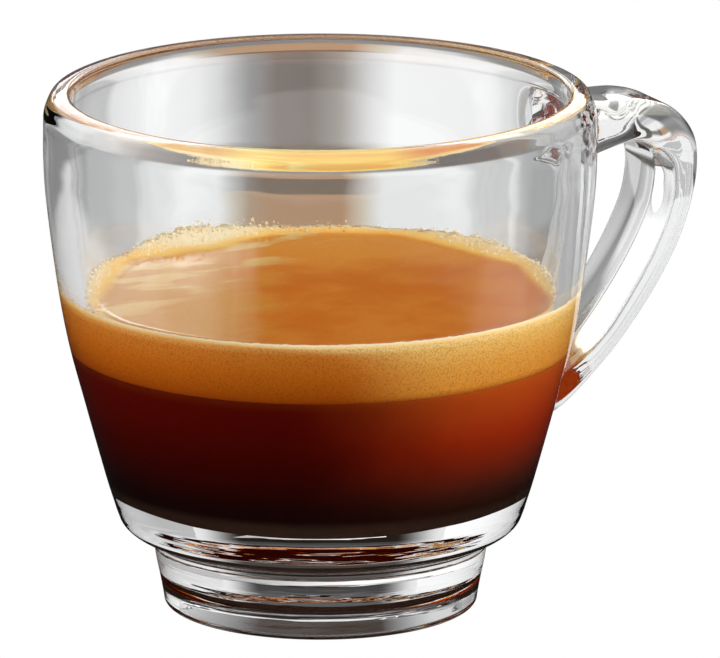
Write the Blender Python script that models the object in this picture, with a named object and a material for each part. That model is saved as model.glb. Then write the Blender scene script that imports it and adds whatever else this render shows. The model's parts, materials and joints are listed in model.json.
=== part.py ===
"""A double espresso in a thick-walled glass cup with a ring foot and a strap handle.

Three pieces, each a closed solid: the cup of moulded glass, the coffee that
fills its bowl and the layer of crema on top, which shows through the side.
The cup stands on its foot at z = 0, with its handle along +X. The origin is
at the middle of the whole outline, handle included, so the axis of the bowl
lies a little towards -X.
"""
import math

import bmesh
import bpy
from mathutils import Vector

MM = 0.001

# ---- Driving dimensions ----------------------------------------------------
RIM_RADIUS = 33.0 * MM            # outside of the bowl at its rim
CUP_HEIGHT = 62.6 * MM
WALL = 3.0 * MM                   # glass of the side wall
STRAP_SQUARENESS = 3.0            # of its section: 2 is an ellipse, more is squarer

# Outside of the bowl, rim to heel: (radius, height).
BOWL_OUTSIDE = ((33.0, 61.1), (33.0, 54.5), (32.7, 49.5), (31.55, 40.2), (30.2, 32.5),
                (28.3, 25.1), (25.9, 16.2), (24.9, 12.9), (24.45, 11.5), (23.9, 10.3),
                (22.7, 9.4), (20.5, 8.6))
# Ring foot, heel to the start of its rounded lower edge.
FOOT_OUTSIDE = ((20.1, 7.6), (19.75, 5.4), (19.3, 3.2), (18.85, 0.7))
FOOT_EDGE = 0.6 * MM              # rounding of the foot's lower edges
FOOT_INSIDE_RADIUS = 16.5 * MM
RECESS_HEIGHT = 3.9 * MM          # hollow beneath the heel
RECESS_CORNER = 2.2 * MM
# Inside of the bowl, rim to the middle of its floor.
SIDE_STATIONS = 6                 # of the outside's, followed by the inside at WALL
BOWL_INSIDE = (*((radius - WALL / MM, height) for radius, height in BOWL_OUTSIDE[:SIDE_STATIONS]),
               (23.2, 20.4), (20.7, 17.4), (16.5, 15.0), (9.0, 13.4), (0.0, 13.0))

# The strap handle in its own plane: (distance from the cup's axis, height).
# Both ends lie inside the bowl's wall.
STRAP_OUTSIDE = ((31.4, 59.4), (36.0, 58.8), (40.8, 58.6), (44.8, 57.2), (47.5, 54.0),
                 (48.1, 50.0), (47.4, 45.4), (45.8, 40.8), (43.3, 36.2), (40.2, 31.7),
                 (36.7, 27.5), (32.8, 23.8), (29.4, 21.4), (26.4, 20.4))
STRAP_INSIDE = ((31.4, 51.6), (35.4, 52.8), (39.2, 53.5), (41.6, 52.5), (42.4, 50.6),
                (42.4, 48.4), (41.8, 45.4), (40.3, 42.0), (38.4, 38.6), (36.1, 35.1),
                (33.6, 31.8), (31.0, 29.1), (28.8, 27.8), (26.4, 27.6))
# Its width along the sweep: (share of the stations, width).
STRAP_WIDTH = ((0.0, 16.0), (0.12, 13.8), (0.3, 12.8), (0.5, 12.0), (0.8, 11.6), (1.0, 14.0))

# The drink.
CLEARANCE = 0.3 * MM              # kept between the pieces
CREMA_BOTTOM = 31.7 * MM
CREMA_TOP = 38.8 * MM             # its level surface
MENISCUS_RISE = 0.9 * MM          # how far the crema climbs the glass
MENISCUS_REACH = 1.6 * MM
FOAM_RISE = 1.5 * MM              # froth left higher on one stretch of the wall
FOAM_AZIMUTH = math.radians(118.0)
FOAM_SPREAD = math.radians(42.0)
RIPPLE = 0.14 * MM                # gentle unevenness of the crema

CUP_STEPS = 64                    # flats round the cup
DRINK_STEPS = 56
STRAP_SIDES = 14
CURVE_STEPS = 2                   # points to each span of an outline

HANDLE_REACH = max(reach for reach, _ in STRAP_OUTSIDE) * MM
AXIS_X = (RIM_RADIUS - HANDLE_REACH) / 2      # the cup's axis


# ---- Outlines --------------------------------------------------------------
def fair_curve(stations, steps=CURVE_STEPS):
    """A smooth curve through the stations, given in mm, as points in metres."""
    points = [Vector(station) * MM for station in stations]
    padded = [2 * points[0] - points[1], *points, 2 * points[-1] - points[-2]]
    curve = []
    for before, start, end, after in zip(padded, padded[1:], padded[2:], padded[3:]):
        for step in range(steps):
            t = step / steps
            leaving = (end - before) / 2 * t * (1 - t) ** 2
            arriving = (after - start) / 2 * t * t * (1 - t)
            blend = t * t * (3 - 2 * t)
            curve.append(start.lerp(end, blend) + leaving - arriving)
    return curve + [points[-1]]


def arc(centre, radius, start_degrees, end_degrees, steps):
    """Points round part of a circle, its ends included."""
    points = []
    for step in range(steps + 1):
        angle = math.radians(start_degrees + (end_degrees - start_degrees) * step / steps)
        points.append(Vector(centre) + radius * Vector((math.cos(angle), math.sin(angle))))
    return points


def without_repeats(points, closest=0.05 * MM):
    kept = [points[0]]
    for point in points[1:]:
        if (point - kept[-1]).length > closest:
            kept.append(point)
    return kept


def cup_outline():
    """Half section of the cup, from the recess round the outside to the floor."""
    rim_radius = WALL / 2
    rim = arc((RIM_RADIUS - rim_radius, CUP_HEIGHT - rim_radius), rim_radius, 0, 180, 8)
    outside = fair_curve(BOWL_OUTSIDE)
    foot = fair_curve(FOOT_OUTSIDE)
    foot_edge = arc((foot[-1].x - FOOT_EDGE, FOOT_EDGE), FOOT_EDGE, 0, -90, 3)
    inner_edge = arc((FOOT_INSIDE_RADIUS + FOOT_EDGE, FOOT_EDGE), FOOT_EDGE, 270, 180, 3)
    corner_centre = (FOOT_INSIDE_RADIUS - RECESS_CORNER, RECESS_HEIGHT - RECESS_CORNER)
    recess = arc(corner_centre, RECESS_CORNER, 0, 90, 4)
    underside = foot + foot_edge + inner_edge + recess + [Vector((0.0, RECESS_HEIGHT))]
    inside = fair_curve(BOWL_INSIDE)
    return without_repeats(underside[::-1] + outside[::-1] + rim + inside)


def drink_wall():
    """The bowl's inside moved in by the clearance, from the floor upwards."""
    inside = fair_curve(BOWL_INSIDE)[::-1]
    moved = []
    for index, point in enumerate(inside):
        ahead = inside[min(index + 1, len(inside) - 1)]
        behind = inside[max(index - 1, 0)]
        along = (ahead - behind).normalized()
        moved.append(point + CLEARANCE * Vector((-along.y, along.x)))
    moved[0].x = 0.0
    return moved


def wall_radius(wall, height):
    """Radius of the drink's outline at a height above the floor."""
    for low, high in zip(wall, wall[1:]):
        if low.y <= height <= high.y:
            return low.lerp(high, (height - low.y) / (high.y - low.y)).x
    return wall[-1].x


# ---- Meshes ----------------------------------------------------------------
def turned(outline, steps):
    """A solid of revolution from a half section whose ends lie on the axis."""
    mesh = bmesh.new()
    verts = [mesh.verts.new((point.x, 0.0, point.y)) for point in outline]
    edges = [mesh.edges.new(pair) for pair in zip(verts, verts[1:])]
    bmesh.ops.spin(mesh, geom=verts + edges, cent=(0, 0, 0), axis=(0, 0, 1),
                   angle=math.tau, steps=steps, use_merge=True)
    bmesh.ops.remove_doubles(mesh, verts=mesh.verts, dist=0.001 * MM)
    bmesh.ops.recalc_face_normals(mesh, faces=mesh.faces)
    return mesh


def strap_section(outer, inner, width):
    """One closed ring of the strap: a rounded bar between two outline points."""
    middle = (outer + inner) / 2
    half = (outer - inner) / 2
    ring = []
    for side in range(STRAP_SIDES):
        angle = math.tau * (side + 0.5) / STRAP_SIDES
        across = rounded(math.cos(angle))
        thick = rounded(math.sin(angle))
        point = middle + half * thick
        ring.append((point.x, width / 2 * across, point.y))
    return ring


def rounded(value):
    return math.copysign(abs(value) ** (2 / STRAP_SQUARENESS), value)


def strap_width(share):
    """Width of the strap at a share of the way from its upper to its lower root."""
    for (low, width), (high, width_after) in zip(STRAP_WIDTH, STRAP_WIDTH[1:]):
        if share <= high:
            blend = (share - low) / (high - low)
            blend = blend * blend * (3 - 2 * blend)
            return (width + (width_after - width) * blend) * MM
    return STRAP_WIDTH[-1][1] * MM


def strap():
    """The handle, swept between its two outlines and closed at both ends."""
    outer = fair_curve(STRAP_OUTSIDE)
    inner = fair_curve(STRAP_INSIDE)
    mesh = bmesh.new()
    rings = []
    for index, (out, into) in enumerate(zip(outer, inner)):
        ring = strap_section(out, into, strap_width(index / (len(outer) - 1)))
        rings.append([mesh.verts.new(point) for point in ring])
    for ring, after in zip(rings, rings[1:]):
        for side in range(STRAP_SIDES):
            beside = (side + 1) % STRAP_SIDES
            mesh.faces.new((ring[side], ring[beside], after[beside], after[side]))
    mesh.faces.new(rings[0])
    mesh.faces.new(rings[-1])
    bmesh.ops.recalc_face_normals(mesh, faces=mesh.faces)
    return mesh


def crema_surface(radius, angle, edge_radius):
    """Height of the crema's top: level, gently uneven, and climbing the wall."""
    from_wall = max(edge_radius - radius, 0.0)
    climb = math.exp(-(from_wall / MENISCUS_REACH) ** 2)
    turn = math.remainder(angle - FOAM_AZIMUTH, math.tau)
    froth = math.exp(-(turn / FOAM_SPREAD) ** 2) * (0.8 + 0.2 * math.cos(23 * angle))
    share = radius / edge_radius
    ripple = math.sin(3 * angle + 5 * share) * math.sin(math.pi * share)
    ripple += 0.5 * math.sin(5 * angle - 9 * share) * share
    return CREMA_TOP + RIPPLE * ripple + climb * (MENISCUS_RISE + FOAM_RISE * froth)


def crema():
    """The crema: a layer down to the coffee, its top raised where it clings."""
    wall = drink_wall()
    bottom = CREMA_BOTTOM + CLEARANCE
    rise = CREMA_TOP - bottom
    side = [bottom + rise * level / 3 for level in range(4)]
    outline = [Vector((0.0, bottom)), *(Vector((wall_radius(wall, z), z)) for z in side)]
    edge_radius = outline[-1].x
    shares = (1.0, 0.975, 0.945, 0.9, 0.82, 0.7, 0.56, 0.42, 0.28, 0.14, 0.0)
    top = [Vector((edge_radius * share, CREMA_TOP)) for share in shares]
    mesh = turned(without_repeats(outline + top), DRINK_STEPS)
    for vert in mesh.verts:
        if vert.co.z > CREMA_TOP - 0.01 * MM:
            radius = math.hypot(vert.co.x, vert.co.y)
            angle = math.atan2(vert.co.y, vert.co.x)
            vert.co.z = crema_surface(radius, angle, edge_radius)
            if radius > edge_radius - 0.01 * MM:
                out = wall_radius(wall, vert.co.z) / radius
                vert.co.x *= out
                vert.co.y *= out
    return mesh


def coffee():
    """The coffee below the crema: the bowl's own form up to a level top."""
    wall = drink_wall()
    below = [point for point in wall if point.y < CREMA_BOTTOM - CLEARANCE]
    brim = Vector((wall_radius(wall, CREMA_BOTTOM), CREMA_BOTTOM))
    return turned(below + [brim, Vector((0.0, CREMA_BOTTOM))], DRINK_STEPS)


# ---- Objects ---------------------------------------------------------------
def material(name, colour, roughness, transmission=0.0):
    made = bpy.data.materials.new(name)
    made.use_nodes = True
    surface = made.node_tree.nodes["Principled BSDF"]
    surface.inputs["Base Color"].default_value = (*colour, 1.0)
    surface.inputs["Roughness"].default_value = roughness
    surface.inputs["Metallic"].default_value = 0.0
    surface.inputs["Transmission Weight"].default_value = transmission
    return made


def add_object(name, mesh, finish):
    """An object on the cup's axis that holds the mesh, shaded smooth."""
    data = bpy.data.meshes.new(name)
    mesh.to_mesh(data)
    mesh.free()
    data.materials.append(finish)
    data.shade_smooth()
    data.set_sharp_from_angle(angle=math.radians(40))
    made = bpy.data.objects.new(name, data)
    made.location.x = AXIS_X
    bpy.context.scene.collection.objects.link(made)
    return made


def join_strap(cup, handle):
    """Fuse the strap into the bowl's wall, then remove the loose copy."""
    union = cup.modifiers.new("strap", 'BOOLEAN')
    union.operation = 'UNION'
    union.solver = 'EXACT'
    union.object = handle
    bpy.context.view_layer.update()
    fused = bpy.data.meshes.new_from_object(
        cup.evaluated_get(bpy.context.evaluated_depsgraph_get()))
    cup.modifiers.clear()
    cup.data = fused
    bpy.data.objects.remove(handle)


def main():
    for old in list(bpy.data.objects):
        bpy.data.objects.remove(old)
    glass = material("glass", (0.95, 0.96, 0.96), 0.02, transmission=1.0)
    cup = add_object("cup_glass", turned(cup_outline(), CUP_STEPS), glass)
    join_strap(cup, add_object("strap", strap(), glass))
    add_object("coffee", coffee(), material("coffee", (0.045, 0.006, 0.001), 0.08))
    add_object("crema", crema(), material("crema", (0.54, 0.18, 0.03), 0.3))


main()
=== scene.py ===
"""The looks of a glass cup of espresso: moulded glass, coffee, crema and its froth.

Lengths in the tables below are in millimetres, and MM turns them into the
frame's metres. Heights are above the foot, and radii are from the cup's axis.
"""
import json
import math
import random

import bpy
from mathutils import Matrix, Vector, noise

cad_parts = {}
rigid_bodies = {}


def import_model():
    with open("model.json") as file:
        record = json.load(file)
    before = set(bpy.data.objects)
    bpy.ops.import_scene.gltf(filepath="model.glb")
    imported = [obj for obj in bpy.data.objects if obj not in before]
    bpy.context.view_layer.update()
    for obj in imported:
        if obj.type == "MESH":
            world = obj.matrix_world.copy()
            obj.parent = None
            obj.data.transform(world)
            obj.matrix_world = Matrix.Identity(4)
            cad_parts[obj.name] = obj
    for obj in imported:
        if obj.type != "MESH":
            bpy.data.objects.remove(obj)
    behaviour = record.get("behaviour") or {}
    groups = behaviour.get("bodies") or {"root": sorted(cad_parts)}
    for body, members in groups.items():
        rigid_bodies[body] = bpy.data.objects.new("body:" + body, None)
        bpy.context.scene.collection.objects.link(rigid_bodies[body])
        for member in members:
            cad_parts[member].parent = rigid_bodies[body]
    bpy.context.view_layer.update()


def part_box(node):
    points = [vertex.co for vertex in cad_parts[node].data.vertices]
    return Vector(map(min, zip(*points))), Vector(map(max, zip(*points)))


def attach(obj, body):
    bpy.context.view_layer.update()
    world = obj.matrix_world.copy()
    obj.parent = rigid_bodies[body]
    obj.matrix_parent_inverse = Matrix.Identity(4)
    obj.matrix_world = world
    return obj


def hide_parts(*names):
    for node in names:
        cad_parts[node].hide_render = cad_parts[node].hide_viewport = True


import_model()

MM = 0.001
COFFEE_LOW, COFFEE_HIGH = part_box("coffee")
AXIS_X = (COFFEE_LOW[0] + COFFEE_HIGH[0]) / 2
AXIS = Vector((AXIS_X, 0.0, 0.0))

# ---- The cup's glass ---------------------------------------------------------
WALL = 3.0
RIM_RADIUS = 33.0
CUP_HEIGHT = 62.6
RIM_OUTSIDE = ((33.0, 58.9), (32.98, 59.8), (32.87, 60.5), (32.62, 61.2), (32.33, 61.85),
               (31.98, 62.33), (31.45, 62.6))     # its outer rounding, slow below
RIM_INNER_EDGE = 0.5               # rounding of its inner edge
RIM_THICKENING = 0.3               # of the wall at the rim
BOWL_OUTSIDE = ((33.0, 58.9), (33.0, 54.5), (32.7, 49.5), (31.55, 40.2), (30.2, 32.5),
                (28.3, 25.1), (25.9, 16.2), (24.9, 12.9), (24.45, 11.5), (23.9, 10.3),
                (22.7, 9.4), (20.5, 8.6))
SIDE_STATIONS = 6                 # of the outside's, followed by the inside at WALL
BOWL_FLOOR = ((23.2, 20.4), (20.7, 17.4), (16.5, 15.0), (9.0, 13.4), (0.0, 13.0))
FOOT_OUTSIDE = ((20.1, 7.6), (19.75, 5.4), (19.3, 3.2), (18.85, 0.7))
FOOT_EDGE = 0.6
FOOT_INSIDE_RADIUS = 16.5
RECESS_HEIGHT = 3.9
RECESS_CORNER = 2.2
STRAP_OUTSIDE = ((31.4, 59.4), (36.0, 58.8), (40.8, 58.6), (44.8, 57.2), (47.5, 54.0),
                 (48.1, 50.0), (47.4, 45.4), (45.8, 40.8), (43.3, 36.2), (40.2, 31.7),
                 (36.7, 27.5), (32.8, 23.8), (29.4, 21.4), (26.4, 20.4))
STRAP_INSIDE = ((31.4, 51.6), (35.4, 52.8), (39.2, 53.5), (41.6, 52.5), (42.4, 50.6),
                (42.4, 48.4), (41.8, 45.4), (40.3, 42.0), (38.4, 38.6), (36.1, 35.1),
                (33.6, 31.8), (31.0, 29.1), (28.8, 27.8), (26.4, 27.6))
STRAP_WIDTH = ((0.0, 16.0), (0.03, 14.0), (0.12, 13.2), (0.3, 12.8), (0.5, 12.0),
               (0.8, 11.6), (1.0, 14.0))
STRAP_ROUNDING = 0.47             # of its edges, as a share of its thickness
STRAP_STEPS = 12
STRAP_ROOT_SMOOTHING = 16         # passes that round the seam between strap and wall
CUP_TURNS = 176                   # facets round the cup
CURVE_STEPS = 7                   # points to each span of an outline

# ---- The drink ---------------------------------------------------------------
INTO_WALL = 0.12                  # how far the drink reaches into the glass
CREMA_BOTTOM = 31.7
CREMA_TOP = 38.8
COFFEE_TURNS = 160
CREMA_TURNS = 400
MENISCUS_RISE = 0.25              # of the crema where it meets the glass
FROTH_RISE = 1.5                  # of its froth above that, where it stands highest
FROTH_REACH = 1.7                 # of the heaped froth from the glass
# Heaps of froth along the glass: (direction, spread, share of the most), in degrees.
FROTH_HEAPS = ((100, 24, 1.0), (150, 30, 0.6), (60, 26, 0.35), (20, 30, 0.6),
               (-15, 24, 0.5))
FROTH_LEAST = 0.08
BUBBLES = 1500
SMALLEST_BUBBLE = 0.08
LARGEST_BUBBLE = 0.28


# ---- Outlines ------------------------------------------------------------------
def fair_curve(stations, steps=CURVE_STEPS):
    """A smooth curve through the stations."""
    points = [Vector(station) for station in stations]
    padded = [2 * points[0] - points[1], *points, 2 * points[-1] - points[-2]]
    curve = []
    for before, start, end, after in zip(padded, padded[1:], padded[2:], padded[3:]):
        for step in range(steps):
            t = step / steps
            leaving = (end - before) / 2 * t * (1 - t) ** 2
            arriving = (after - start) / 2 * t * t * (1 - t)
            blend = t * t * (3 - 2 * t)
            curve.append(start.lerp(end, blend) + leaving - arriving)
    return curve + [points[-1]]


def arc(centre, radius, start_degrees, end_degrees, steps):
    """Points round part of a circle, its ends included."""
    points = []
    for step in range(steps + 1):
        angle = math.radians(start_degrees + (end_degrees - start_degrees) * step / steps)
        points.append(Vector(centre) + radius * Vector((math.cos(angle), math.sin(angle))))
    return points


def without_repeats(points, closest=0.02):
    kept = [points[0]]
    for point in points[1:]:
        if (point - kept[-1]).length > closest:
            kept.append(point)
    return kept


def bowl_inside():
    """The inside of the bowl, from the rim down to the middle of its floor."""
    side = [(radius - WALL, height) for radius, height in BOWL_OUTSIDE[:SIDE_STATIONS]]
    edge = (RIM_RADIUS - WALL - RIM_THICKENING, CUP_HEIGHT - RIM_INNER_EDGE)
    return fair_curve((edge, *side, *BOWL_FLOOR))


def cup_outline():
    """Half section of the cup, from the recess round the outside to the floor."""
    inside = bowl_inside()
    edge_centre = inside[0] + Vector((RIM_INNER_EDGE, 0.0))
    rim = fair_curve(RIM_OUTSIDE) + arc(edge_centre, RIM_INNER_EDGE, 90, 180, 9)
    outside = fair_curve(BOWL_OUTSIDE)
    foot = fair_curve(FOOT_OUTSIDE)
    foot_edge = arc((foot[-1].x - FOOT_EDGE, FOOT_EDGE), FOOT_EDGE, 0, -90, 8)
    inner_edge = arc((FOOT_INSIDE_RADIUS + FOOT_EDGE, FOOT_EDGE), FOOT_EDGE, 270, 180, 8)
    corner_centre = (FOOT_INSIDE_RADIUS - RECESS_CORNER, RECESS_HEIGHT - RECESS_CORNER)
    recess = arc(corner_centre, RECESS_CORNER, 0, 90, 8)
    underside = foot + foot_edge + inner_edge + recess + [Vector((0.0, RECESS_HEIGHT))]
    return without_repeats(underside[::-1] + outside[::-1] + rim + inside)


def drink_wall():
    """The bowl's inside moved a little into the glass, from the floor upwards."""
    inside = bowl_inside()[::-1]
    moved = []
    for index, point in enumerate(inside):
        ahead = inside[min(index + 1, len(inside) - 1)]
        behind = inside[max(index - 1, 0)]
        along = (ahead - behind).normalized()
        moved.append(point - INTO_WALL * Vector((-along.y, along.x)))
    moved[0].x = 0.0
    return moved


DRINK_WALL = drink_wall()


def wall_radius(height):
    """Radius of the drink's outline at a height above the floor."""
    for low, high in zip(DRINK_WALL, DRINK_WALL[1:]):
        if low.y <= height <= high.y:
            return low.lerp(high, (height - low.y) / (high.y - low.y)).x
    return DRINK_WALL[-1].x


# ---- Modelling -----------------------------------------------------------------
def deselect():
    bpy.ops.object.select_all(action='DESELECT')


def edit(piece):
    """Edit one piece alone, with all of it selected."""
    deselect()
    piece.select_set(True)
    bpy.context.view_layer.objects.active = piece
    bpy.ops.object.mode_set(mode='EDIT')
    bpy.ops.mesh.select_all(action='SELECT')


def finish_editing():
    """Leave edit mode and put the piece's place into its mesh."""
    bpy.ops.object.mode_set(mode='OBJECT')
    bpy.ops.object.transform_apply(location=True, rotation=True, scale=True)


def placed(point):
    """A point of a half section, in the frame."""
    return AXIS + Vector((point.x, 0.0, point.y)) * MM


def turned(name, outline, turns):
    """A solid of revolution: the outline is drawn edge by edge, then spun."""
    deselect()
    bpy.ops.mesh.primitive_plane_add(size=MM, location=placed(outline[0]))
    piece = bpy.context.active_object
    piece.name = piece.data.name = name
    bpy.ops.object.mode_set(mode='EDIT')
    bpy.ops.mesh.select_all(action='SELECT')
    bpy.ops.mesh.merge(type='CENTER')
    for before, after in zip(outline, outline[1:]):
        step = placed(after) - placed(before)
        bpy.ops.mesh.extrude_vertices_move(TRANSFORM_OT_translate={"value": step})
    bpy.ops.mesh.select_all(action='SELECT')
    bpy.ops.mesh.spin(steps=turns, angle=math.tau, center=AXIS, axis=(0, 0, 1))
    bpy.ops.mesh.select_all(action='SELECT')
    bpy.ops.mesh.remove_doubles(threshold=0.002 * MM)
    bpy.ops.mesh.normals_make_consistent(inside=False)
    finish_editing()
    bpy.ops.object.shade_smooth()
    return piece


def strap_width(share):
    """Width of the strap at a share of the way from its upper to its lower root."""
    for (low, width), (high, width_after) in zip(STRAP_WIDTH, STRAP_WIDTH[1:]):
        if share <= high:
            blend = (share - low) / (high - low)
            blend = blend * blend * (3 - 2 * blend)
            return width + (width_after - width) * blend
    return STRAP_WIDTH[-1][1]


def strap_stations():
    """Centre, tilt, thickness and width of each section of the strap, in mm."""
    outer = fair_curve(STRAP_OUTSIDE, STRAP_STEPS)
    inner = fair_curve(STRAP_INSIDE, STRAP_STEPS)
    stations = []
    for index, (out, into) in enumerate(zip(outer, inner)):
        across = out - into
        tilt = math.atan2(across.x, across.y)
        width = strap_width(index / (len(outer) - 1))
        stations.append(((out + into) / 2, tilt, across.length, width))
    return stations


def rounded_strap():
    """The handle: a rounded section, extruded, turned and resized along its path."""
    stations = strap_stations()
    centre, tilt, thickness, width = stations[0]
    deselect()
    bpy.ops.mesh.primitive_plane_add(size=MM, location=placed(centre), rotation=(0, math.pi / 2, 0))
    piece = bpy.context.active_object
    piece.name = piece.data.name = "strap"
    bpy.ops.object.transform_apply(location=False, rotation=True, scale=False)
    bpy.ops.object.mode_set(mode='EDIT')
    bpy.ops.mesh.select_all(action='SELECT')
    bpy.ops.transform.resize(value=(1, width, thickness), center_override=placed(centre))
    bpy.ops.transform.rotate(value=-tilt, orient_axis='Y', center_override=placed(centre))
    bpy.ops.mesh.bevel(offset=STRAP_ROUNDING * thickness * MM, segments=11, affect='VERTICES')
    for before, after in zip(stations, stations[1:]):
        centre, tilt, thickness, width = after
        at = placed(centre)
        bpy.ops.mesh.extrude_region_move(
            TRANSFORM_OT_translate={"value": at - placed(before[0])})
        bpy.ops.transform.rotate(value=-(tilt - before[1]), orient_axis='Y', center_override=at)
        bpy.ops.transform.resize(
            value=(thickness / before[2], width / before[3], thickness / before[2]),
            center_override=at)
    bpy.ops.mesh.select_all(action='SELECT')
    bpy.ops.mesh.normals_make_consistent(inside=False)
    finish_editing()
    return piece


def join_strap(cup, strap):
    """Fuse the strap into the bowl's wall, with a fillet where they meet."""
    union = cup.modifiers.new("strap", 'BOOLEAN')
    union.operation = 'UNION'
    union.solver = 'EXACT'
    union.object = strap
    deselect()
    cup.select_set(True)
    bpy.context.view_layer.objects.active = cup
    bpy.ops.object.modifier_apply(modifier=union.name)
    bpy.data.objects.remove(strap)
    edit(cup)
    bpy.ops.mesh.select_mode(type='EDGE')
    bpy.ops.mesh.select_all(action='DESELECT')
    bpy.ops.mesh.edges_select_sharp(sharpness=math.radians(30))
    bpy.ops.mesh.select_mode(type='VERT')
    bpy.ops.mesh.select_more()
    bpy.ops.mesh.remove_doubles(threshold=0.25 * MM)
    bpy.ops.mesh.select_more()
    bpy.ops.mesh.vertices_smooth(factor=0.5, repeat=STRAP_ROOT_SMOOTHING)
    bpy.ops.object.mode_set(mode='OBJECT')
    bpy.ops.object.shade_smooth()


def crema_outline():
    """Half section of the crema: its underside, its side and its level top."""
    depth = CREMA_TOP - CREMA_BOTTOM
    side = [CREMA_BOTTOM + depth * level / 16 for level in range(17)]
    outline = [Vector((0.0, CREMA_BOTTOM)), *(Vector((wall_radius(z), z)) for z in side)]
    edge = outline[-1].x
    for step in range(1, 61):
        outline.append(Vector((edge * (1 - step / 60) ** 1.5, CREMA_TOP)))
    return without_repeats(outline)


def coffee_outline():
    below = [point for point in DRINK_WALL if point.y < CREMA_BOTTOM - 0.1]
    brim = Vector((wall_radius(CREMA_BOTTOM) - 0.01, CREMA_BOTTOM))
    return below + [brim, Vector((0.0, CREMA_BOTTOM))]


def froth_share(x, y):
    """How much froth stands against the glass in this direction, from 0 to 1."""
    azimuth = math.atan2(y, x)
    share = FROTH_LEAST
    for centre, spread, most in FROTH_HEAPS:
        turn = math.remainder(azimuth - math.radians(centre), math.tau)
        share = max(share, most * math.exp(-(turn / math.radians(spread)) ** 2))
    return share


def crema_height(x, y):
    """Height of the crema's top: level, finely uneven, and climbing the glass."""
    froth = froth_share(x, y)
    from_wall = max(wall_radius(CREMA_TOP) - math.hypot(x, y), 0.0)
    climb = math.exp(-(from_wall / (0.5 + FROTH_REACH * froth)) ** 2)
    swell = noise.noise(Vector((x, y, 0.0)) / 5.0)
    crumb = noise.noise(Vector((x, y, 9.0)) / 0.7)
    rise = MENISCUS_RISE + FROTH_RISE * froth * (0.85 + 0.4 * crumb)
    return CREMA_TOP + 0.002 * swell + climb * (rise + 0.05 * crumb)


def raise_froth(crema):
    """Shape the crema's top, and mark where it is top and where it is froth."""
    edge = wall_radius(CREMA_TOP)
    is_top = crema.data.attributes.new("top", 'FLOAT', 'POINT')
    is_froth = crema.data.attributes.new("froth", 'FLOAT', 'POINT')
    for vertex in crema.data.vertices:
        x, y, z = (vertex.co - AXIS) / MM
        if z < CREMA_TOP - 0.01:
            continue
        radius = math.hypot(x, y)
        height = crema_height(x, y)
        out = wall_radius(height) / radius if radius > edge - 0.01 else 1.0
        vertex.co = AXIS + Vector((x * out, y * out, height)) * MM
        froth = froth_share(x, y)
        is_top.data[vertex.index].value = 1.0
        is_froth.data[vertex.index].value = max(
            math.exp(-((edge - radius) / (0.4 + 4.6 * froth)) ** 2) * (0.25 + 0.75 * froth),
            math.exp(-((edge - radius) / 0.35) ** 2))


def froth_bubbles():
    """Bubbles heaped along the glass, a few higher on it and a few on the crema."""
    draw = random.Random(11)
    deselect()
    bpy.ops.mesh.primitive_ico_sphere_add(subdivisions=2, radius=MM)
    model = bpy.context.active_object
    model.name = "bubble"
    bubbles = []
    while len(bubbles) < BUBBLES:
        azimuth = draw.uniform(0.0, math.tau)
        froth = froth_share(math.cos(azimuth), math.sin(azimuth))
        chance, size, place, lift = (draw.random() for _ in range(4))
        if chance > froth - FROTH_LEAST:
            continue
        radius = SMALLEST_BUBBLE + (LARGEST_BUBBLE - SMALLEST_BUBBLE) * size ** 4
        edge = wall_radius(CREMA_TOP)
        inward = radius * 0.7 + 2.6 * (0.15 + froth) * place ** 2
        x, y = [(edge - inward) * turned for turned in (math.cos(azimuth), math.sin(azimuth))]
        height = crema_height(x, y) - radius * 0.4
        if place < 0.35:
            height += 1.2 * froth * lift ** 3
            radius *= 0.8
        bubble = model.copy()
        bubble.data = model.data.copy()
        bubble.location = AXIS + Vector((x, y, height)) * MM
        bubble.scale = (radius,) * 3
        bpy.context.collection.objects.link(bubble)
        bubbles.append(bubble)
    bpy.data.objects.remove(model)
    deselect()
    for bubble in bubbles:
        bubble.select_set(True)
    bpy.context.view_layer.objects.active = bubbles[0]
    bpy.ops.object.join()
    froth = bpy.context.active_object
    froth.name = froth.data.name = "froth"
    bpy.ops.object.transform_apply(location=True, rotation=True, scale=True)
    bpy.ops.object.shade_smooth()
    is_froth = froth.data.attributes.new("froth", 'FLOAT', 'POINT')
    for vertex in froth.data.vertices:
        x, y, _ = (vertex.co - AXIS) / MM
        is_froth.data[vertex.index].value = froth_share(x, y)
    return froth


# ---- Materials -------------------------------------------------------------------
class Amount:
    """A number worked out over a surface: operators on it add Math nodes."""

    def __init__(self, finish, socket):
        self.finish = finish
        self.socket = socket

    def made(self, operation, *values):
        sockets = {index: value for index, value in enumerate(values)}
        node = self.finish.node('ShaderNodeMath', {"operation": operation}, sockets)
        return Amount(self.finish, node.outputs[0])

    def __add__(self, other):
        return self.made('ADD', self, other)

    def __sub__(self, other):
        return self.made('SUBTRACT', self, other)

    def __rsub__(self, other):
        return self.made('SUBTRACT', other, self)

    def __mul__(self, other):
        return self.made('MULTIPLY', self, other)

    __radd__ = __add__
    __rmul__ = __mul__

    def __truediv__(self, other):
        return self.made('DIVIDE', self, other)

    def __pow__(self, other):
        return self.made('POWER', self, other)

    def between(self, low, high, step='SMOOTHSTEP'):
        """0 below low, 1 above high, and an even step between, soft or straight."""
        settings = {"interpolation_type": step}
        sockets = {"Value": self, "From Min": low, "From Max": high}
        node = self.finish.node('ShaderNodeMapRange', settings, sockets)
        return Amount(self.finish, node.outputs["Result"])


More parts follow.
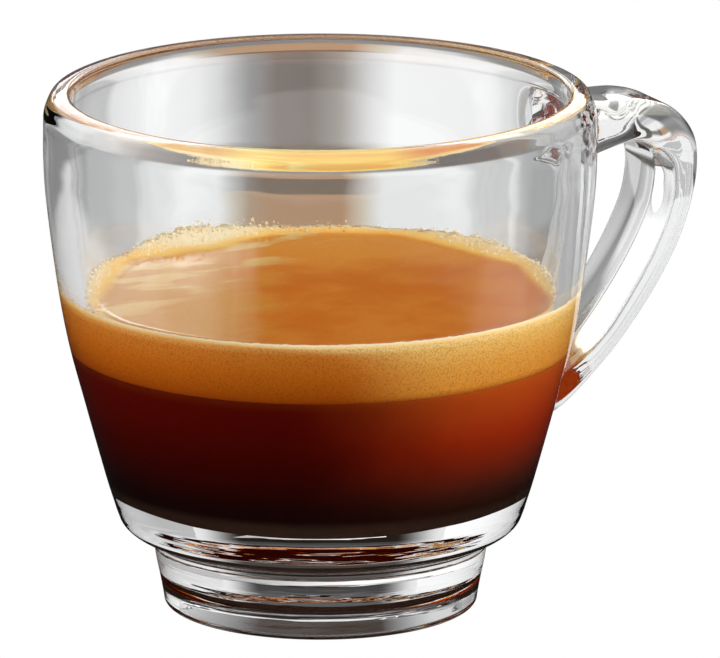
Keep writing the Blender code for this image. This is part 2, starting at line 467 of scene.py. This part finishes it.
class Nodes:
    """A node tree under construction."""

    def __init__(self, owner):
        owner.use_nodes = True
        self.tree = owner.node_tree
        self.tree.nodes.clear()

    def node(self, kind, settings=None, sockets=None):
        """A node, with its settings made first and then its sockets set or linked."""
        node = self.tree.nodes.new(kind)
        for name, value in (settings or {}).items():
            if name == "stops":
                self.set_stops(node.color_ramp, value)
            else:
                setattr(node, name, value)
        for name, value in (sockets or {}).items():
            socket = node.inputs[name]
            value = getattr(value, "socket", value)
            if isinstance(value, bpy.types.NodeSocket):
                self.tree.links.new(value, socket)
            elif socket.type == 'RGBA':
                socket.default_value = (*value, 1.0)
            else:
                socket.default_value = value
        return node

    def set_stops(self, ramp, stops):
        while len(ramp.elements) > len(stops):
            ramp.elements.remove(ramp.elements[-1])
        while len(ramp.elements) < len(stops):
            ramp.elements.new(1.0)
        for element, (place, colour) in zip(ramp.elements, stops):
            element.position = place
            element.color = (*colour, 1.0)

    def place(self):
        """Object coordinates, measured from the cup's axis, in millimetres."""
        at = self.node('ShaderNodeTexCoord').outputs["Object"]
        moved = self.node('ShaderNodeVectorMath', {"operation": 'SUBTRACT'}, {0: at, 1: AXIS})
        scaled = self.node('ShaderNodeVectorMath', {"operation": 'SCALE'},
                           {0: moved.outputs[0], "Scale": 1 / MM})
        return scaled.outputs[0]

    def stretch(self, vector, by):
        return self.node('ShaderNodeVectorMath', {"operation": 'MULTIPLY'},
                         {0: vector, 1: by}).outputs[0]

    def along(self, vector, direction):
        """How far a vector reaches in a direction."""
        node = self.node('ShaderNodeVectorMath', {"operation": 'DOT_PRODUCT'},
                         {0: vector, 1: direction})
        return Amount(self, node.outputs["Value"])

    def parts_of(self, vector):
        split = self.node('ShaderNodeSeparateXYZ', None, {0: vector})
        return [Amount(self, split.outputs[axis]) for axis in "XYZ"]

    def noise(self, vector, size, detail=2.0, roughness=0.5):
        """Soft noise from 0 to 1 whose features are about size millimetres across."""
        sockets = {"Vector": vector, "Scale": 1 / size, "Detail": detail,
                   "Roughness": roughness}
        return Amount(self, self.node('ShaderNodeTexNoise', None, sockets).outputs[0])

    def ramp(self, amount, stops):
        node = self.node('ShaderNodeValToRGB', {"stops": stops}, {0: amount})
        return node.outputs["Color"]

    def mix(self, share, colour, other):
        settings = {"data_type": 'RGBA', "clamp_factor": True}
        return self.node('ShaderNodeMix', settings, {0: share, 6: colour, 7: other}).outputs[2]

    def attribute(self, name):
        """A number that the mesh carries at each of its points."""
        node = self.node('ShaderNodeAttribute', {"attribute_name": name})
        return Amount(self, node.outputs["Fac"])

    def depth_of(self, kind):
        """How often light has bounced or passed so far, for the stage alone."""
        path = self.node('ShaderNodeLightPath')
        return Amount(self, path.outputs[kind + " Depth"])

    def mirrored_by_wall(self):
        """1 for mirrored light, for the stage alone.

        It is 0 for light mirrored twice or more that passed two surfaces at most, as
        light does inside the handle.
        """
        mirrored, passed = self.depth_of("Glossy"), self.depth_of("Transmission")
        within_handle = mirrored.between(1, 2, 'LINEAR') * (1 - passed.between(2, 3, 'LINEAR'))
        return mirrored.between(0, 1, 'LINEAR') * (1 - within_handle)

    def ray_mix(self, name, otherwise, chosen):
        """A shader that changes for one kind of ray."""
        rays = self.node('ShaderNodeLightPath')
        return self.node('ShaderNodeMixShader', None,
                         {0: rays.outputs[name], 1: otherwise, 2: chosen}).outputs[0]

    def bump(self, height, depth):
        """A relief of height (0 to 1) times depth millimetres."""
        sockets = {"Height": height, "Distance": depth * MM, "Strength": 1.0}
        return self.node('ShaderNodeBump', None, sockets).outputs[0]


class Finish(Nodes):
    """A material under construction."""

    def __init__(self, name):
        self.material = bpy.data.materials.new(name)
        super().__init__(self.material)

    def done(self, shader, *pieces):
        self.node('ShaderNodeOutputMaterial', None, {"Surface": shader})
        for piece in pieces:
            piece.data.materials.clear()
            piece.data.materials.append(self.material)


RIM_GLOW = (0.09, 0.145, 0.04)    # light that the glass gives off, painted into its front rim


def finish_glass(cup):
    """Clear moulded glass, slightly wavy, with mould marks round its heel and foot."""
    glass = Finish("clear glass")
    place = glass.place()
    waves = glass.noise(glass.stretch(place, (1.0, 1.0, 2.2)), 9.0, detail=1.0)
    rings = glass.noise(glass.stretch(place, (0.06, 0.06, 1.0)), 0.8, detail=2.0)
    height = glass.parts_of(place)[2]
    low = 1 - height.between(11.0, 14.0)
    across, away = glass.along(place, RIGHT), glass.along(place, AWAY)
    # Painted light: the front of the rim, on the camera's side, glows with RIM_GLOW, a glow painted
    # into the glass.
    front = across.between(-13, -7) * (1 - across.between(7, 13)) * (1 - away.between(-25, -15))
    painted_rim_glow = front * height.between(60.4, 60.9)
    relief = waves * 0.02 + rings * low * 0.035
    sockets = {"Base Color": (0.985, 0.99, 0.99), "Roughness": 0.0, "IOR": 1.5,
               "Transmission Weight": 1.0, "Normal": glass.bump(relief, 1.0),
               "Emission Color": glass.mix(painted_rim_glow, (0.0,) * 3, RIM_GLOW),
               "Emission Strength": 1.0}
    body = glass.node('ShaderNodeBsdfPrincipled', None, sockets).outputs[0]
    clear = glass.node('ShaderNodeBsdfTransparent', None, {"Color": (0.93, 0.94, 0.94)})
    shader = glass.ray_mix("Is Shadow Ray", body, clear.outputs[0])
    shader = glass.ray_mix("Is Diffuse Ray", shader, clear.outputs[0])
    glass.done(shader, cup)


def finish_coffee(coffee):
    """Coffee: red-brown; painted light makes it redder on the lamp's side, painted shade black at
    its floor.
    """
    liquid = Finish("coffee")
    place = liquid.place()
    height = liquid.parts_of(place)[2]
    depth = height.between(12.0, CREMA_BOTTOM, 'LINEAR')
    # A shaded and a lit copy of the coffee's colour: painted shade and painted light, both darker
    # low down.
    shaded = liquid.ramp(depth, ((0.0, (0.05, 0.026, 0.017)), (0.15, (0.03, 0.014, 0.009)),
                                 (0.2, (0.008, 0.0015, 0.001)), (0.29, (0.0095, 0.0013, 0.0008)),
                                 (0.6, (0.036, 0.001, 0.0002)), (0.8, (0.056, 0.0014, 0.0002)),
                                 (0.94, (0.063, 0.002, 0.0003)), (1.0, (0.085, 0.009, 0.0008))))
    glowing = liquid.ramp(depth, ((0.0, (0.05, 0.026, 0.017)), (0.15, (0.03, 0.014, 0.009)),
                                  (0.2, (0.02, 0.006, 0.003)), (0.33, (0.046, 0.0085, 0.004)),
                                  (0.645, (0.20, 0.0135, 0.002)), (0.75, (0.24, 0.021, 0.003)),
                                  (0.92, (0.29, 0.038, 0.0045)), (1.0, (0.32, 0.05, 0.006))))
    clouds = liquid.noise(place, 6.0, detail=2.0)
    # Painted light: the side towards the key lamp takes the lit colour.
    glow = (liquid.along(place, RIGHT) + (clouds - 0.5) * 5).between(-4, 23)
    sockets = {"Base Color": liquid.mix(glow, shaded, glowing), "Roughness": 0.5,
               "Specular IOR Level": 0.0}
    body = liquid.node('ShaderNodeBsdfPrincipled', None, sockets)
    liquid.done(body.outputs[0], coffee)


FROTH_PALE = (0.82, 0.69, 0.46)
FROTH_YELLOW = (0.84, 0.52, 0.15)
CREAM_STREAK = (0.80, 0.50, 0.17)


def crema_side(foam, place, grain):
    """Colour of the crema against the glass: painted shade deepens it low down and away from the
    lamp.
    """
    height = foam.parts_of(place)[2]
    rise = height.between(CREMA_BOTTOM, CREMA_TOP, 'LINEAR')
    # A shaded and a lit copy of the crema's colour: painted shade and painted light.
    shaded = foam.ramp(rise, ((0.0, (0.24, 0.038, 0.002)), (0.15, (0.30, 0.062, 0.003)),
                              (0.5, (0.42, 0.105, 0.007)), (0.85, (0.50, 0.155, 0.018)),
                              (1.0, (0.66, 0.32, 0.09))))
    lit = foam.ramp(rise, ((0.0, (0.36, 0.10, 0.010)), (0.12, (0.52, 0.20, 0.026)),
                           (0.5, (0.57, 0.26, 0.045)), (0.85, (0.65, 0.38, 0.10)),
                           (1.0, (0.80, 0.58, 0.25))))
    # Painted light: lit towards the key lamp, and painted lighter along the crema's top edge.
    light = (foam.along(place, RIGHT) + rise ** 12 * 16).between(1.2, 14.4)
    specks = grain.between(0.4, 0.75)
    return foam.mix(specks * 0.4, foam.mix(light, shaded, lit), (0.16, 0.03, 0.002))


def crema_top(foam, place, froth, grain):
    """Colour of the crema's top: hazel clouds that pale into froth at the glass."""
    drift = foam.noise(place, 9.0, detail=3.0)
    hazel = foam.mix(drift.between(0.35, 0.65), (0.64, 0.165, 0.014), (0.70, 0.22, 0.025))
    streaks = foam.noise(foam.stretch(place, (0.4, 1.0, 1.0)), 4.0, detail=3.0)
    paler = (foam.along(place, -RIGHT) + (streaks - 0.5) * 14).between(3, 13)
    back = (foam.along(place, AWAY) + (streaks - 0.5) * 10).between(6, 20)
    hazel = foam.mix(back * 0.8, hazel, (0.80, 0.31, 0.035))
    hazel = foam.mix(paler * 0.9, hazel, (0.66, 0.31, 0.05))
    reach = foam.along(place, -RIGHT) + foam.along(place, AWAY) * 0.6
    hazel = foam.mix(streaks.between(0.45, 0.58) * reach.between(9, 18), hazel, CREAM_STREAK)
    speckled = foam.mix(grain.between(0.5, 0.8) * 0.35, hazel, (0.30, 0.07, 0.006))
    amount = froth + (grain - 0.5) * 0.25
    yellowed = foam.mix(amount.between(0.12, 0.45), speckled, FROTH_YELLOW)
    return foam.mix(amount.between(0.4, 0.85), yellowed, FROTH_PALE)


def finish_crema(crema):
    """Fine foam: golden against the glass, hazel on top, with a wet sheen there."""
    foam = Finish("crema")
    place = foam.place()
    grain = foam.noise(place, 0.22, detail=1.0)
    is_top, froth = foam.attribute("top"), foam.attribute("froth")
    colour = foam.mix(is_top, crema_side(foam, place, grain),
                      crema_top(foam, place, froth, grain))
    ripples = foam.noise(place, 2.5, detail=1.0)
    relief = grain * 0.02 + ripples * 0.02
    sockets = {"Base Color": colour, "Roughness": 0.6, "Specular IOR Level": 0.0,
               "Coat Weight": is_top * (1 - froth.between(0.1, 0.45)),
               "Coat Roughness": 0.05, "Coat IOR": 1.33, "Normal": foam.bump(relief, 1.0)}
    body = foam.node('ShaderNodeBsdfPrincipled', None, sockets)
    foam.done(body.outputs[0], crema)


def finish_froth(froth):
    """Wet bubbles, palest where they stand thickest."""
    bubbles = Finish("froth")
    place = bubbles.place()
    patches = bubbles.noise(place, 1.2, detail=2.0)
    thickness = bubbles.attribute("froth") + (patches - 0.5) * 0.8
    amber = bubbles.mix(patches.between(0.4, 0.6), (0.58, 0.24, 0.05), (0.76, 0.42, 0.12))
    colour = bubbles.mix(thickness.between(0.1, 0.6), amber, FROTH_PALE)
    sockets = {"Base Color": colour, "Roughness": 0.35, "Specular IOR Level": 0.3}
    body = bubbles.node('ShaderNodeBsdfPrincipled', None, sockets)
    bubbles.done(body.outputs[0], froth)


# ---- Stage -------------------------------------------------------------------------
CAMERA_AZIMUTH = math.radians(-24.6)
CAMERA_PITCH = math.radians(14.3)
CAMERA_DISTANCE = 1.25
CAMERA_LENS = 522.0
AIM_RIGHT = 4.74                   # of the point on the axis at AIM_HEIGHT
AIM_UP = 1.77
AIM_HEIGHT = 31.6

AWAY = Vector((-math.sin(CAMERA_AZIMUTH), math.cos(CAMERA_AZIMUTH), 0.0))
RIGHT = Vector((math.cos(CAMERA_AZIMUTH), math.sin(CAMERA_AZIMUTH), 0.0))
UP = Vector((0.0, 0.0, 1.0))


def add_camera():
    look = AWAY * math.cos(CAMERA_PITCH) - UP * math.sin(CAMERA_PITCH)
    upward = RIGHT.cross(look)
    aim = AXIS + UP * AIM_HEIGHT * MM + (RIGHT * AIM_RIGHT + upward * AIM_UP) * MM
    bpy.ops.object.camera_add(location=aim - look * CAMERA_DISTANCE)
    camera = bpy.context.active_object
    camera.rotation_mode = 'QUATERNION'
    camera.rotation_quaternion = look.to_track_quat('-Z', 'Y')
    camera.data.lens = CAMERA_LENS
    camera.data.sensor_width = 36.0
    camera.data.clip_end = 20.0
    bpy.context.scene.camera = camera


def stage_place(right, away, up):
    """A point measured from the cup's foot as the camera sees it, in metres."""
    return AXIS + RIGHT * right + AWAY * away + UP * up


def add_lamp(name, place, size, power, aim=(0.0, 0.0, 0.04)):
    """A soft lamp that lights the drink and doesn't show in the glass."""
    location = stage_place(*place)
    bpy.ops.object.light_add(type='AREA', location=location)
    lamp = bpy.context.active_object
    lamp.name = name
    lamp.data.shape = 'RECTANGLE'
    lamp.data.size, lamp.data.size_y = size
    lamp.data.energy = power
    lamp.visible_glossy = False
    lamp.visible_transmission = False
    towards = stage_place(*aim) - location
    lamp.rotation_euler = towards.to_track_quat('-Z', 'Y').to_euler()
    return lamp


def add_card(name, place, size, across_rows, up_rows):
    """An upright card behind the cup, seen only in and through the glass.

    Its greys are painted across it and up it, as (millimetres, grey), to draw what the
    drink mirrors. Light that passed no surface of the glass sees SEEN_BY_RIM on its
    upper part instead, and light that passed one or two sees SEEN_BY_FOOT all over.
    """
    location = stage_place(*place)
    bpy.ops.mesh.primitive_plane_add(size=1.0, location=location)
    card = bpy.context.active_object
    card.name = name
    card.scale = (*size, 1.0)
    card.rotation_euler = (-AWAY).to_track_quat('Z', 'Y').to_euler()
    bpy.ops.object.transform_apply(location=False, rotation=False, scale=True)
    paper = Finish(name)
    across, up, _ = paper.parts_of(paper.node('ShaderNodeTexCoord').outputs["Object"])
    height = up / MM + place[2] / MM
    across = across / MM
    panels = grey_row(paper, across, size[0] / MM, across_rows)
    bands = grey_row(paper, height - BAND_LEVEL, BAND_HEIGHT, up_rows)
    veil = paper.stretch(panels, bands)
    veil = paper.mix((across - (height - 149) * 4.2).between(28, 36), veil, VEIL_RIGHT)
    above = grey_row(paper, across, size[0] / MM, SEEN_BY_RIM)
    passed = paper.depth_of("Transmission")
    by_rim = height.between(162, 166) * (1 - passed.between(2, 3, 'LINEAR'))
    seen = paper.mix(by_rim, veil, above)
    by_foot = passed.between(0, 1, 'LINEAR') * (1 - passed.between(2, 3, 'LINEAR'))
    below = grey_row(paper, height - FOOT_ROW_LEVEL, FOOT_ROW_HEIGHT, SEEN_BY_FOOT)
    aside = ((across * across) ** 0.5).between(110, 205)
    below = paper.mix(aside, below, SEEN_ASIDE)
    seen = paper.mix(by_foot, seen, below)
    glow = paper.node('ShaderNodeEmission', None, {"Color": seen, "Strength": BAND_BRIGHTNESS})
    paper.done(glow.outputs[0], card)
    card.visible_camera = False
    card.visible_shadow = False
    card.visible_diffuse = False
    return card


def grey_row(paper, across, width, row):
    """Greys (or colours) at places across a width, both in millimetres."""
    stops = [(right / width + 0.5, grey if isinstance(grey, tuple) else (grey,) * 3)
             for right, grey in row]
    return paper.ramp(across / width + 0.5, stops)


def add_floor():
    """A floor that is white to the camera and painted for light that comes through glass.

    The painted rows draw the streaks of the glass: one for each distance behind the cup,
    where the glass bends the view to. The floor is dark to the glass's reflections.
    """
    bpy.ops.mesh.primitive_circle_add(vertices=64, radius=3.0, fill_type='NGON')
    floor = bpy.context.active_object
    floor.name = "floor"
    paper = Finish("pale floor")
    place = paper.place()
    across, away = paper.along(place, RIGHT), paper.along(place, AWAY)
    spread = across / (1 + away * FLOOR_ROW_SPREAD)
    rows = SEEN_AT_FOOT, SEEN_CLOSE, SEEN_NEAR, SEEN_MIDDLE, SEEN_FAR
    foot, close, near, middle, far = [grey_row(paper, spread, FLOOR_ROW_WIDTH, row)
                                      for row in rows]
    seen = paper.mix(away.between(80, 110), foot, close)
    seen = paper.mix(away.between(148, 176), seen, near)
    seen = paper.mix(away.between(208, 212), seen, middle)
    seen = paper.mix(away.between(236, 242), seen, far)
    seen = paper.mix(away.between(330, 410), seen, SEEN_BEYOND)
    seen = paper.mix(away.between(10, 25) * (1 - away.between(600, 800)), (0.92,) * 3, seen)
    x, y, _ = paper.parts_of(place)
    # Painted shadow: under the cup, as the glass shows it, the floor is shaded dark brown.
    under = 1 - ((x * x + y * y) ** 0.5).between(24, 34)
    shaded = grey_row(paper, across, 60.0, PAINTED_SHADOW_UNDER)
    seen = paper.mix(under, seen, shaded)
    in_front = away.between(-260, -230) * (1 - away.between(-50, -30))
    in_front = in_front * paper.mirrored_by_wall()
    seen = paper.mix(in_front, seen, (0.03,) * 3)
    through = paper.node('ShaderNodeEmission', None, {"Color": seen}).outputs[0]
    white, dark = [paper.node('ShaderNodeEmission', None, {"Color": (grey,) * 3}).outputs[0]
                   for grey in (1.0, 0.01)]
    plain = paper.node('ShaderNodeBsdfDiffuse', None, {"Color": (0.8, 0.8, 0.8)}).outputs[0]
    shader = paper.ray_mix("Is Glossy Ray", plain, dark)
    shader = paper.ray_mix("Is Transmission Ray", shader, through)
    shader = paper.ray_mix("Is Camera Ray", shader, white)
    paper.done(shader, floor)


def add_world():
    """White to the camera, with other greys for what the glass shows and mirrors."""
    world = bpy.data.worlds.new("studio")
    bpy.context.scene.world = world
    sky = Nodes(world)
    direction = sky.node('ShaderNodeTexCoord').outputs["Generated"]
    rise = sky.parts_of(direction)[2]
    away = sky.along(direction, AWAY)
    side = sky.along(direction, RIGHT)
    level = sky.mix(side.between(-0.2, 0.3), (1.15,) * 3, (0.55,) * 3)
    shares = sky.ramp(rise * 0.5 + 0.5, ((0.42, (0.0,) * 3), (0.48, (1.0,) * 3),
                                         (0.58, (1.0,) * 3), (0.66, (0.0,) * 3)))
    above = sky.mix(rise.between(0.3, 0.6), (1.02,) * 3, (0.78,) * 3)
    beyond = sky.mix(sky.parts_of(shares)[0], above, level)
    away_dark = (1 - away.between(-0.5, -0.2)) * sky.depth_of("Transmission").between(2, 3, 'LINEAR')
    beyond = sky.mix(away_dark * sky.mirrored_by_wall(), beyond, (0.05,) * 3)
    mirrored = sky.mix(rise.between(0.05, 0.3) * away.between(0.0, 0.3), (0.01,) * 3, (1.6,) * 3)
    mirrored = sky.mix(rise.between(0.45, 0.6), mirrored, OVERHEAD)
    colours = (0.45,) * 3, beyond, mirrored, (1.0,) * 3
    lights = [sky.node('ShaderNodeBackground', None, {"Color": colour}).outputs[0]
              for colour in colours]
    shader = sky.ray_mix("Is Glossy Ray", lights[0], lights[2])
    shader = sky.ray_mix("Is Transmission Ray", shader, lights[1])
    shader = sky.ray_mix("Is Camera Ray", shader, lights[3])
    sky.node('ShaderNodeOutputWorld', None, {"Surface": shader})


FLOOR_ROW_WIDTH = 130.0            # where the row meets the cup; it widens away from it
FLOOR_ROW_SPREAD = 3.5 * MM
LEFT_STREAKS = ((-65, 0.30), (-52, 0.30), (-46, 0.42), (-36, 0.46), (-31, 0.54), (-27, 0.56),
                (-25, 0.80), (-21, 0.88), (-17, 1.0))
RIGHT_STREAKS = ((16, 0.95), (18, 0.90), (19.5, 0.76), (21.5, 0.70), (25, 0.62), (26.5, 0.62),
                 (27.5, 0.82), (28.5, 0.76), (30, 0.54), (35, 0.43), (48, 0.42), (54, 0.72))
# Painted shadow of the cup and its coffee on the floor beneath it, as (millimetres across, grey).
PAINTED_SHADOW_UNDER = ((-30, 0.8), (-16, 0.55), (-10, 0.25), (-7, (0.06, 0.042, 0.034)),
              (7, (0.055, 0.038, 0.03)), (9.5, 0.3), (13, 0.7), (30, 0.9))
SEEN_CLOSE = ((-65, 0.8), (-40, 0.75), (-30, 0.5), (-18, 0.3), (-5, 0.25), (0, 0.28),
              (8, 0.30), (18, 0.17), (47, 0.17), (54, 0.40), (62, 0.5))
SEEN_AT_FOOT = ((-65, 0.8), (-40, 0.7), (-26, 0.12), (8, 0.10), (18, 0.17), (47, 0.17),
                (54, 0.40), (62, 0.5))
SEEN_NEAR = (*LEFT_STREAKS, (-12.5, 0.96), (-10.4, (0.68, 0.62, 0.53)),
             (-8.6, (0.49, 0.37, 0.27)), (-6.6, (0.50, 0.32, 0.20)), (2.0, (0.50, 0.31, 0.19)),
             (4.3, (0.70, 0.62, 0.50)), (6.6, 0.92), *RIGHT_STREAKS)
SEEN_MIDDLE = (*LEFT_STREAKS, (-12.5, 0.95), (-10.4, 0.55), (-8.6, (0.28, 0.24, 0.21)),
               (-6.6, (0.21, 0.155, 0.115)), (2.0, (0.21, 0.155, 0.115)),
               (4.3, (0.58, 0.54, 0.50)), (6.6, 0.9), *RIGHT_STREAKS)
SEEN_FAR = (*LEFT_STREAKS, (-12.5, 0.92), (-10.2, 0.74), (-7.3, 0.36),
            (-4.6, (0.235, 0.20, 0.18)), (-1.5, (0.22, 0.19, 0.17)), (1.4, (0.36, 0.33, 0.30)),
            (4.3, 0.76), (6.5, 0.98), *RIGHT_STREAKS)
SEEN_BEYOND = (0.13, 0.12, 0.11)   # on the floor farther back than the rows
BAND_BRIGHTNESS = 6.0
BAND_LEVEL = 150                   # of the middle of the card's banded part
BAND_HEIGHT = 60.0                 # of the banded part
MIRRORED = ((-200, 0.9), (-120, 0.9), (-82, 1.0), (-42, 1.0), (-37, 0.85), (-33, 0.62),
            (-30, 0.42), (-28, 0.55), (-25, 0.3), (-22.5, 0.32), (-19, 0.02), (40, 0.02),
            (200, 0.02))
BANDS = ((-30, 0.43), (-3.0, 0.43), (-2.6, 0.04), (-2.1, 0.04), (-1.7, 0.235), (0.0, 0.235),
         (0.8, 0.115), (12, 0.115), (16, 0.3), (30, 0.3))
VEIL_RIGHT = (0.031, 0.031, 0.031)
FOOT_ROW_LEVEL = 110               # of the middle of what the foot shows of the card
FOOT_ROW_HEIGHT = 120.0
SEEN_BY_FOOT = ((-60, (0.003, 0.002, 0.0015)), (-34, (0.004, 0.003, 0.002)), (-28, 0.012),
                (-4, 0.010), (8, 0.011), (24, 0.011), (36, 0.012), (60, 0.02))
SEEN_BY_RIM = ((-200, 0.6), (-40, 0.6), (-24, (0.22, 0.18, 0.12)), (30, (0.22, 0.18, 0.12)),
               (46, 0.6), (200, 0.6))
SEEN_ASIDE = (0.15, 0.15, 0.15)    # by the foot's sides
OVERHEAD = (3.5, 3.4, 2.8)         # a warm softbox above, for what the glass mirrors


def set_up_stage():
    add_camera()
    add_world()
    add_floor()
    add_card("back card", (0.0, 0.45, 0.35), (0.42, 0.60), MIRRORED, BANDS)
    add_lamp("key", (0.75, -0.2, 0.45), (0.5, 0.7), 9.0)
    add_lamp("fill", (-0.75, -0.2, 0.4), (0.5, 0.7), 5.0)
    scene = bpy.context.scene
    scene.view_settings.view_transform = 'Standard'
    scene.cycles.transmission_bounces = 16
    scene.cycles.glossy_bounces = 16
    scene.cycles.max_bounces = 20
    scene.cycles.transparent_max_bounces = 24


def main():
    cup = turned("glass_cup", cup_outline(), CUP_TURNS)
    join_strap(cup, rounded_strap())
    coffee = turned("coffee_body", coffee_outline(), COFFEE_TURNS)
    crema = turned("crema_layer", crema_outline(), CREMA_TURNS)
    raise_froth(crema)
    froth = froth_bubbles()
    finish_glass(cup)
    finish_coffee(coffee)
    finish_crema(crema)
    finish_froth(froth)
    for piece, node, slot in ((cup, "cup_glass", "glass"), (coffee, "coffee", "coffee"),
                              (crema, "crema", "crema")):
        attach(piece, "root")
        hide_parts(node)
    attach(froth, "root")
    set_up_stage()


main()
